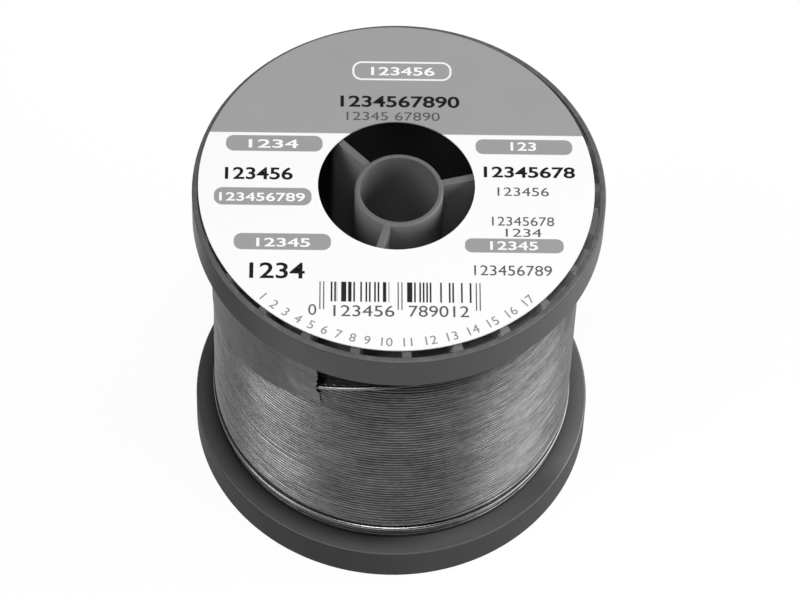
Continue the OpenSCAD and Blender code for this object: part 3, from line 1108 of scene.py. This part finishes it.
for name, lines, deep, pale in (
    ("black", NUMBERS_BLACK, 0.008, 0.018),
    ("grey", NUMBERS_GREY, 0.08, 0.13),
    ("pale", edge_digits(), 0.22, 0.30),
    ("white", NUMBERS_WHITE, 0.86, 0.90),
):
    ink = printing_ink("ink_" + name, deep, pale)
    numbers = print_numbers("numbers_" + name, lines, ink)
    print(numbers.name, "faces:", len(numbers.data.polygons))

# %% [markdown]
# The stage is a wide pale floor under soft light. A small bright box high above the camera lights
# the label and the tops of the flanges. A wide box at the right and a narrow one at the front left
# give the wire its two pale flanks. No lamp stands low in front, which keeps the middle dark.
# Camera and mirror rays see the floor mostly as plain white, and the rest keeps the soft shadow.

# %% Floor, world and lamps
FLOOR_SIDE = 3.0
FLOOR_CELLS = 4
FLOOR_DROP = 0.02
FLOOR_SHADE = 0.55
FLOOR_CLOUD_SHARE = 0.97
FLOOR_GREY = grey(FLOOR_SHADE)
FLOOR_CLOUD = grey(FLOOR_SHADE * FLOOR_CLOUD_SHARE)
WHITE_SHARE = 0.88
WHITE_LIGHT = 1.06
WORLD_LIGHT = 0.08
WHITE = (1, 1, 1, 1)
LAMP_AIM = Vector((0.0, 0.0, 40 * MM))


def seen_directly(tree):
    """1 for rays from the camera, from mirrors and through glass, and 0 for light that is scattered."""
    seen = Signal.node(tree, "ShaderNodeLightPath", output="Is Camera Ray")
    outputs = seen.socket.node.outputs
    return seen.largest(Signal(outputs["Is Glossy Ray"])).largest(Signal(outputs["Is Transmission Ray"]))


def make_floor():
    work = bmesh.new()
    bmesh.ops.create_grid(work, x_segments=FLOOR_CELLS, y_segments=FLOOR_CELLS, size=FLOOR_SIDE / 2)
    mesh = bpy.data.meshes.new("floor")
    work.to_mesh(mesh)
    work.free()
    floor = bpy.data.objects.new("floor", mesh)
    bpy.context.scene.collection.objects.link(floor)
    finish = Finish("floor")
    tree = finish.tree
    cloud = finish.noise(finish.place(), scale=0.01)
    finish.set(Base_Color=finish.blend(cloud, FLOOR_GREY, FLOOR_CLOUD), Roughness=0.9)
    white = finish.node("ShaderNodeEmission", {}, {"Color": WHITE, "Strength": WHITE_LIGHT})
    share = seen_directly(tree) * WHITE_SHARE
    sockets = {"Fac": share, "Shader": Signal(finish.shader.outputs[0]), "Shader_001": white}
    shown = finish.node("ShaderNodeMixShader", {}, sockets)
    tree.links.new(shown.socket, tree.nodes["Material Output"].inputs["Surface"])
    mesh.materials.append(finish.material)
    floor.location.z = -FLOOR_DROP * MM
    return floor


def make_world():
    world = bpy.data.worlds.new("studio")
    bpy.context.scene.world = world
    world.use_nodes = True
    dim = world.node_tree.nodes["Background"]
    dim.inputs["Color"].default_value = WHITE
    dim.inputs["Strength"].default_value = WORLD_LIGHT
    return world


def softbox(name, turn, rise, distance, width, height, light):
    """A rectangular lamp that faces the spool; light is the brightness that a mirror of it shows."""
    data = bpy.data.lights.new(name, "AREA")
    data.shape = "RECTANGLE"
    data.size = width
    data.size_y = height
    data.energy = light * math.pi * width * height
    lamp = bpy.data.objects.new(name, data)
    bpy.context.scene.collection.objects.link(lamp)
    away = direction(math.radians(turn), math.radians(rise))
    lamp.location = LAMP_AIM + away * distance
    lamp.rotation_mode = "QUATERNION"
    lamp.rotation_quaternion = (-away).to_track_quat("-Z", "Y")
    return lamp


make_floor()
make_world()
softbox("key", turn=12, rise=73, distance=0.80, width=0.24, height=0.24, light=12.5)
softbox("right", turn=103, rise=24, distance=0.70, width=1.25, height=0.50, light=4.2)
softbox("left", turn=-53, rise=38, distance=0.70, width=0.32, height=0.50, light=5.1)
bpy.context.scene.view_settings.view_transform = "Standard"
print("stage ready")
